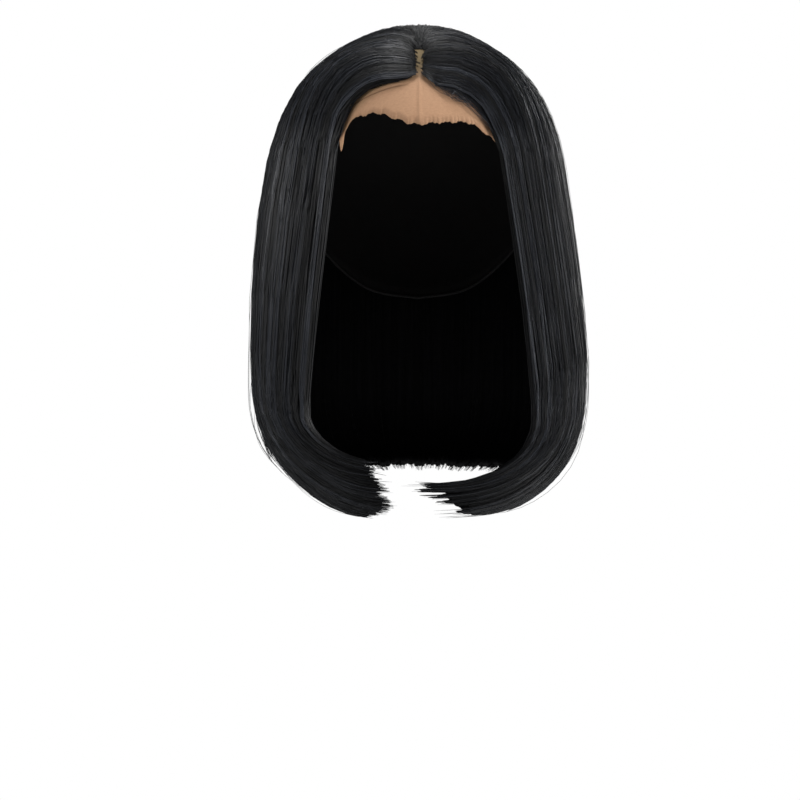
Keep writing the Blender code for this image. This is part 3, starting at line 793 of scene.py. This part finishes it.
def strand_grower():
    """Node tree that grows strands beside guide lines, cuts them unevenly and gives them thickness."""
    tree = bpy.data.node_groups.new("grow_strands", "GeometryNodeTree")
    tree.is_modifier = True
    tree.interface.new_socket("Geometry", in_out="INPUT", socket_type="NodeSocketGeometry")
    for name, kind in (
        ("Strands per guide", "Int"), ("Spread", "Float"), ("Layer depth", "Float"), ("Wander", "Float"),
        ("Radius", "Float"), ("Uneven cut", "Float"), ("Seed", "Int"), ("Fibre", "Material"),
    ):
        tree.interface.new_socket(name, in_out="INPUT", socket_type="NodeSocket" + kind)
    tree.interface.new_socket("Geometry", in_out="OUTPUT", socket_type="NodeSocketGeometry")
    graph = Graph(tree)
    given = graph.node("NodeGroupInput").outputs

    def chance(offset, low, high):
        """A random number for each strand."""
        seed = graph.math("ADD", given["Seed"], float(offset))
        draw = graph.node("FunctionNodeRandomValue", {2: low, 3: high, 8: seed}, data_type="FLOAT")
        return graph.node(
            "GeometryNodeFieldOnDomain", {0: draw.outputs[1]}, domain="CURVE", data_type="FLOAT",
        ).outputs[0]

    def along_way(name, amount):
        """A guide's stored direction, scaled."""
        way = graph.node("GeometryNodeInputNamedAttribute", {0: name}, data_type="FLOAT_VECTOR").outputs[0]
        return graph.node("ShaderNodeVectorMath", {0: way, 3: amount}, operation="SCALE").outputs[0]

    lines = graph.node("GeometryNodeMeshToCurve", {0: given["Geometry"]}).outputs[0]
    many = graph.node(
        "GeometryNodeDuplicateElements", {0: lines, 2: given["Strands per guide"]}, domain="SPLINE",
    ).outputs[0]
    place = graph.node("GeometryNodeInputPosition").outputs[0]
    wave = graph.node(
        "ShaderNodeTexNoise", {"Vector": place, "W": chance(1, 0.0, 90.0), "Scale": 28.0, "Detail": 1.0},
        noise_dimensions="4D",
    ).outputs["Fac"]
    wandered = graph.math("MULTIPLY", graph.math("SUBTRACT", wave, 0.5), given["Wander"])
    wandered = graph.math("MULTIPLY", wandered, 4.0)
    sideways = graph.math("MULTIPLY_ADD", chance(2, -1.0, 1.0), given["Spread"], wandered)
    inwards = graph.math("MULTIPLY", chance(3, -1.0, 0.0), given["Layer depth"])
    moved = graph.node(
        "ShaderNodeVectorMath", {0: along_way("across", sideways), 1: along_way("out", inwards)}, operation="ADD",
    ).outputs[0]
    placed = graph.node("GeometryNodeSetPosition", {0: many, 3: moved}).outputs[0]
    shorter = graph.math("POWER", chance(4, 0.0, 1.0), 3.0)
    end = graph.math("SUBTRACT", 1.0, graph.math("MULTIPLY", shorter, given["Uneven cut"]))
    cut = graph.node("GeometryNodeTrimCurve", {0: placed, 2: 0.0, 3: end}, mode="FACTOR").outputs[0]
    # The stored shade carries the guides' tone, with its painted shade at tips and roots, plus a random part for each
    # strand.
    tone = graph.node("GeometryNodeInputNamedAttribute", {0: "tone"}, data_type="FLOAT").outputs[0]
    shade = graph.math("ADD", tone, chance(5, -0.26, 0.26))
    shaded = graph.node(
        "GeometryNodeStoreNamedAttribute", {0: cut, 2: "shade", 3: shade}, domain="POINT", data_type="FLOAT",
    ).outputs[0]
    factor = graph.node("GeometryNodeSplineParameter").outputs["Factor"]
    taper = graph.math("MULTIPLY", graph.ramp(factor, 1.0, 0.90, 0.25, 1.0), graph.ramp(factor, 0.0, 0.04, 0.5, 1.0))
    thick = graph.math("MULTIPLY", graph.math("MULTIPLY", given["Radius"], chance(6, 0.55, 1.25)), taper)
    ring = graph.node("GeometryNodeCurvePrimitiveCircle", {"Resolution": 3, "Radius": 1.0}, mode="RADIUS").outputs[0]
    tubes = graph.node("GeometryNodeCurveToMesh", {0: shaded, 1: ring, 2: thick, 3: True}).outputs[0]
    smooth = graph.node("GeometryNodeSetShadeSmooth", {0: tubes}).outputs[0]
    whole = graph.node("GeometryNodeRealizeInstances", {0: smooth}).outputs[0]
    made = graph.node("GeometryNodeSetMaterial", {0: whole, 2: given["Fibre"]}).outputs[0]
    graph.node("NodeGroupOutput", {0: made})
    return tree


def strand_lines(points, across, out, tone, knot_rows, starts, ends, chance, shaded=0.0):
    """Guide lines through sheets of rows: knots at rows that differ from line to line, from start to end row."""
    rows = points.shape[1]
    starts = np.asarray(starts)[:, None]
    at = np.where(
        knot_rows < CURL_START_ROW,
        mix(starts, CURL_START_ROW, (knot_rows - knot_rows[0]) / max(CURL_START_ROW - knot_rows[0], 1)),
        knot_rows,
    )
    spacing = np.diff(knot_rows)
    loose = np.minimum(spacing[:-1], spacing[1:]) * 0.3 * (knot_rows[1:-1] > 2)
    at[:, 1:-1] += chance.uniform(-1, 1, (len(points), len(loose))) * loose
    longer = (np.asarray(ends) - CURL_START_ROW) / (rows - 1 - CURL_START_ROW)
    at = np.where(at > CURL_START_ROW, CURL_START_ROW + (at - CURL_START_ROW) * longer[:, None], at)
    low = np.clip(np.floor(at).astype(int), 0, rows - 2)
    share = (at - low)[..., None]
    line = np.arange(len(points))[:, None]
    grids = [mix(grid[line, low], grid[line, low + 1], share) for grid in (points, across, out)]
    # Painted shade: the tone falls towards the tips in the curl, more by shaded, and at the roots.
    painted_shade = 0.25 + np.broadcast_to(shaded, tone.shape)[:, None]
    painted_shade = painted_shade * ease((at - CURL_START_ROW - 3) / 12) + ROOT_SHADE * (1 - ease(at / 3.5))
    return grids + [tone[:, None] - painted_shade]


def grow(name, sets, fibre, sizes):
    """Grows strands from sets of guide lines into one plain mesh."""
    points, edges, ways, tones = [], [], {"across": [], "out": []}, []
    count = 0
    for lines, across, out, tone in sets:
        number, knots = lines.shape[:2]
        first = count + np.arange(number)[:, None] * knots + np.arange(knots - 1)[None, :]
        edges.append(np.stack([first, first + 1], axis=-1).reshape(-1, 2))
        points.append(lines.reshape(-1, 3))
        ways["across"].append(across.reshape(-1, 3))
        ways["out"].append(out.reshape(-1, 3))
        tones.append(tone.ravel())
        count += number * knots
    mesh = bpy.data.meshes.new(name + "_guides")
    mesh.from_pydata(np.concatenate(points).tolist(), np.concatenate(edges).tolist(), [])
    for way, grids in ways.items():
        mesh.attributes.new(way, "FLOAT_VECTOR", "POINT").data.foreach_set("vector", np.concatenate(grids).ravel())
    mesh.attributes.new("tone", "FLOAT", "POINT").data.foreach_set("value", np.concatenate(tones))
    made = bpy.data.objects.new(name, mesh)
    bpy.context.scene.collection.objects.link(made)
    modifier = made.modifiers.new("strands", "NODES")
    modifier.node_group = grow_strands
    values = {"Fibre": fibre, **sizes}
    for item in grow_strands.interface.items_tree:
        if item.in_out == "INPUT" and item.name in values:
            modifier[item.identifier] = values[item.name]
    made.update_tag()
    evaluated = made.evaluated_get(bpy.context.evaluated_depsgraph_get())
    grown = bpy.data.meshes.new_from_object(evaluated)
    made.modifiers.remove(modifier)
    made.data = grown
    bpy.data.meshes.remove(mesh)
    return made


grow_strands = strand_grower()
black_fibre, graph, shader = new_material("black_fibre", 0.28, 0.3)
shade = graph.node("ShaderNodeAttribute", attribute_name="shade").outputs["Fac"]
spot = graph.node("ShaderNodeTexCoord").outputs["Object"]
patches = graph.noise(70.0, 3.0, Vector=spot)
# The colour follows each strand's tone, with painted shade at its tips and roots, and random patches.
tone_and_shade = graph.math("MULTIPLY_ADD", patches, 0.5, graph.math("SUBTRACT", shade, 0.25))
colour = graph.colour(graph.math("POWER", tone_and_shade, 2.2), (0.0011, 0.0013, 0.0019), (0.0450, 0.0485, 0.0580))
graph.tree.links.new(graph.ramp(shade, 0.15, 0.85, 0.50, 0.24), shader.inputs["Roughness"])
graph.finish(shader, colour, graph.noise(1500.0, 2.0, Vector=spot), 0.15, 0.0002)

for section in SECTIONS:
    kind = section["name"].split("_")[0]
    chance = np.random.default_rng(len(section["name"]) + 7)
    sets = []
    for side, first, last in section["spans"]:
        number = GUIDES[kind] // len(section["spans"])
        place = mix(first, last, (np.arange(number) + chance.uniform(0.1, 0.9, number)) / number)
        points, across, out, depth = hair_sheet(side, place, 1.0)
        row = np.arange(points.shape[1])[None, :]
        down = row / (points.shape[1] - 1)
        clump, tone, end = 0.0, 0.5, points.shape[1] - 1 - cut_rows(side, place)
        for lock, pull, tip_pull, shading in zip(LOCKS, (0.0, 0.16, 0.30), (0.30, 0.50, 0.80), (0.14, 0.33, 0.33)):
            away, lock_number, half = in_locks(side * place * HALF_GIRTH, lock)
            clump = clump - (away * half)[:, None] * mix(pull, tip_pull, ease((down - 0.84) / 0.16))
            tone = tone + for_each_lock(lock_number, lock["seed"] + 50, -shading, shading)
        waver = 0.8 + 0.2 * smooth_noise(down * 5 + place[:, None] * 90, 71)
        cross = chance.normal(0, 0.0007, number)[:, None] * (down * 2 - 0.6) * ease(down * 3)
        points = points + across * (clump * ease(down * 4) * waver + cross)[..., None]
        fanned = in_fan(place)
        begins = fanned * chance.uniform(-4.0, 5.0, number).clip(0)
        overlap = mix(chance.exponential(0.0005, number), 0.0004, fanned)
        points[:, 0, 0] -= side * (overlap - 0.0002).clip(-0.0002, 0.0030)
        points[:, 0, 0] += fanned * chance.uniform(-0.0024, 0.0024, number)
        points[:, 0, 1:] -= (fanned * chance.uniform(-0.0005, 0.0052, number))[:, None] * np.array([1.0, 0.5])
        # Painted shade at the curl's tips, deeper towards the front edge.
        shaded = TIP_SHADE[side] * (1 - ease(place / 0.16))
        lines = strand_lines(points, across, out, tone, KNOT_ROWS, begins, end, chance, shaded)
        lines[0][:, 0] -= lines[2][:, 0] * mix(depth[:, 0] * 0.8, depth[:, 0] + 0.0014, fanned)[:, None]
        lines[0][:, 1] -= lines[2][:, 1] * (depth[:, 0] * 0.4 * fanned)[:, None]
        sets.append(lines)
        inner_place = mix(first, last, chance.uniform(0, 1, number // 4))
        layer = chance.uniform(0.05, 0.8, (len(inner_place), 1, 1))
        points, across, out, depth = hair_sheet(side, inner_place, layer)
        end = points.shape[1] - 1 - cut_rows(side, inner_place) + chance.normal(0, 0.35, len(inner_place))
        sets.append(strand_lines(
            points, across, out, 0.35 + 0 * inner_place, TIP_KNOT_ROWS, TIP_KNOT_ROWS[0] + 0 * inner_place, end, chance,
        ))
        if kind == "front":
            rim_place = chance.uniform(-0.0008, 0.004, RIM_GUIDES)
            points, across, out, depth = hair_sheet(side, rim_place, chance.uniform(0.0, 0.9, (RIM_GUIDES, 1, 1)))
            sets.append(strand_lines(
                points, across, out, chance.uniform(0.0, 0.45, RIM_GUIDES), RIM_KNOT_ROWS,
                chance.uniform(0.2, 7.0, RIM_GUIDES), 51.5 - cut_rows(side, rim_place), chance,
            ))
    strands = grow("strands_" + section["name"], sets, black_fibre, {
        "Strands per guide": STRANDS_PER_GUIDE,
        "Spread": STRAND_SPREAD if kind != "back" else STRAND_SPREAD * 1.5,
        "Layer depth": STRAND_DEPTH,
        "Wander": STRAND_WANDER,
        "Radius": STRAND_RADIUS,
        "Uneven cut": STRAND_CUT,
        "Seed": STRAND_SEED,
    })
    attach(strands, "root")
    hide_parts(section["node"])

# Loose hairs: single fibres that stand off the hair at its sides, lie over the lace at the hairline,
# or hang below the tips. A small tuft of shorter ones sticks out low on the right side.
LOOSE_RADIUS = 0.00013
LOOSE_KNOTS = 11
TUFT_STRANDS = 54
TUFT_TOP_Z = -0.178
TUFT_TIP_Z = -0.2475
LOOSE = (
    {
        "part": "side", "number": 42, "layer": 1.0, "place": (0.16, 0.62), "start": (20, 36), "end": (40, 53),
        "lift": 0.0017, "slant": 0.0030,
    },
    {
        "part": "dome", "number": 80, "layer": 1.0, "place": (0.02, 0.80), "start": (0.6, 6), "end": (12, 30),
        "lift": 0.0005, "slant": 0.0034,
    },
    {
        "part": "hairline", "number": 90, "layer": 0.15, "place": (0.0, 0.008), "start": (0.1, 7), "end": (6, 20),
        "lift": 0.0002, "slant": -0.0044,
    },
    {
        "part": "tips", "number": 60, "layer": 0.9, "place": (0.0, 0.62), "start": (38, 44), "end": (52, 54.5),
        "lift": 0.0014, "slant": 0.0042,
    },
)
for side, word in ((-1, "right"), (1, "left")):
    chance = np.random.default_rng(31 + side)
    sets = []
    for kind in LOOSE:
        number = kind["number"]
        place = chance.uniform(*kind["place"], number)
        points, across, out, depth = hair_sheet(side, place, kind["layer"])
        start = chance.uniform(*kind["start"], number)
        end = chance.uniform(*kind["end"], number)
        rows = start[:, None] + (end - start)[:, None] * np.linspace(0, 1, LOOSE_KNOTS)[None, :]
        share = np.linspace(0, 1, LOOSE_KNOTS)[None, :]
        low = np.clip(np.floor(rows).astype(int), 0, points.shape[1] - 2)
        line = np.arange(number)[:, None]
        at, beside, away = [
            mix(grid[line, low], grid[line, low + 1], (rows - low)[..., None]) for grid in (points, across, out)
        ]
        lift = kind["lift"] * chance.exponential(1.0, number)[:, None].clip(0, 2.6) * np.sin(share * 2.6)
        slant = kind["slant"] * chance.normal(0, 1, number)[:, None] * (share - 0.35)
        if kind["part"] == "hairline":
            slant = kind["slant"] * chance.uniform(0.0, 1.6, number)[:, None] * np.sin(share * 3.1)
        at = at + away * (lift + 0.0002)[..., None] + beside * slant[..., None]
        sets.append([at, beside, away, np.broadcast_to(chance.uniform(0.3, 0.9, number)[:, None], rows.shape)])
    if side < 0:
        place = chance.uniform(0.325, 0.365, TUFT_STRANDS)
        drop = np.linspace(0, 1, LOOSE_KNOTS)[None, :]
        level = mix(TUFT_TOP_Z, TUFT_TIP_Z + chance.uniform(-0.003, 0.004, TUFT_STRANDS)[:, None], drop)
        points, out, depth = sections_at(side, np.broadcast_to(place[:, None], level.shape), level)
        spread = chance.uniform(-0.0030, 0.0002, TUFT_STRANDS)[:, None] * drop**3
        turned = 0.0080 * ((drop - 0.58) / 0.42).clip(0) ** 1.2
        points = points + out * (depth * 0.97 + spread - turned)[..., None]
        sets.append([points, np.cross(out, [0.0, 0.0, 1.0]) * 0.5, out, np.full(level.shape, 0.45)])
    loose = grow("loose_hairs_" + word, sets, black_fibre, {
        "Strands per guide": 1,
        "Spread": 0.0,
        "Layer depth": 0.0,
        "Wander": 0.0004,
        "Radius": LOOSE_RADIUS,
        "Uneven cut": 0.2,
        "Seed": STRAND_SEED + 5,
    })
    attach(loose, "root")
    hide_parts("side_fall_" + word)
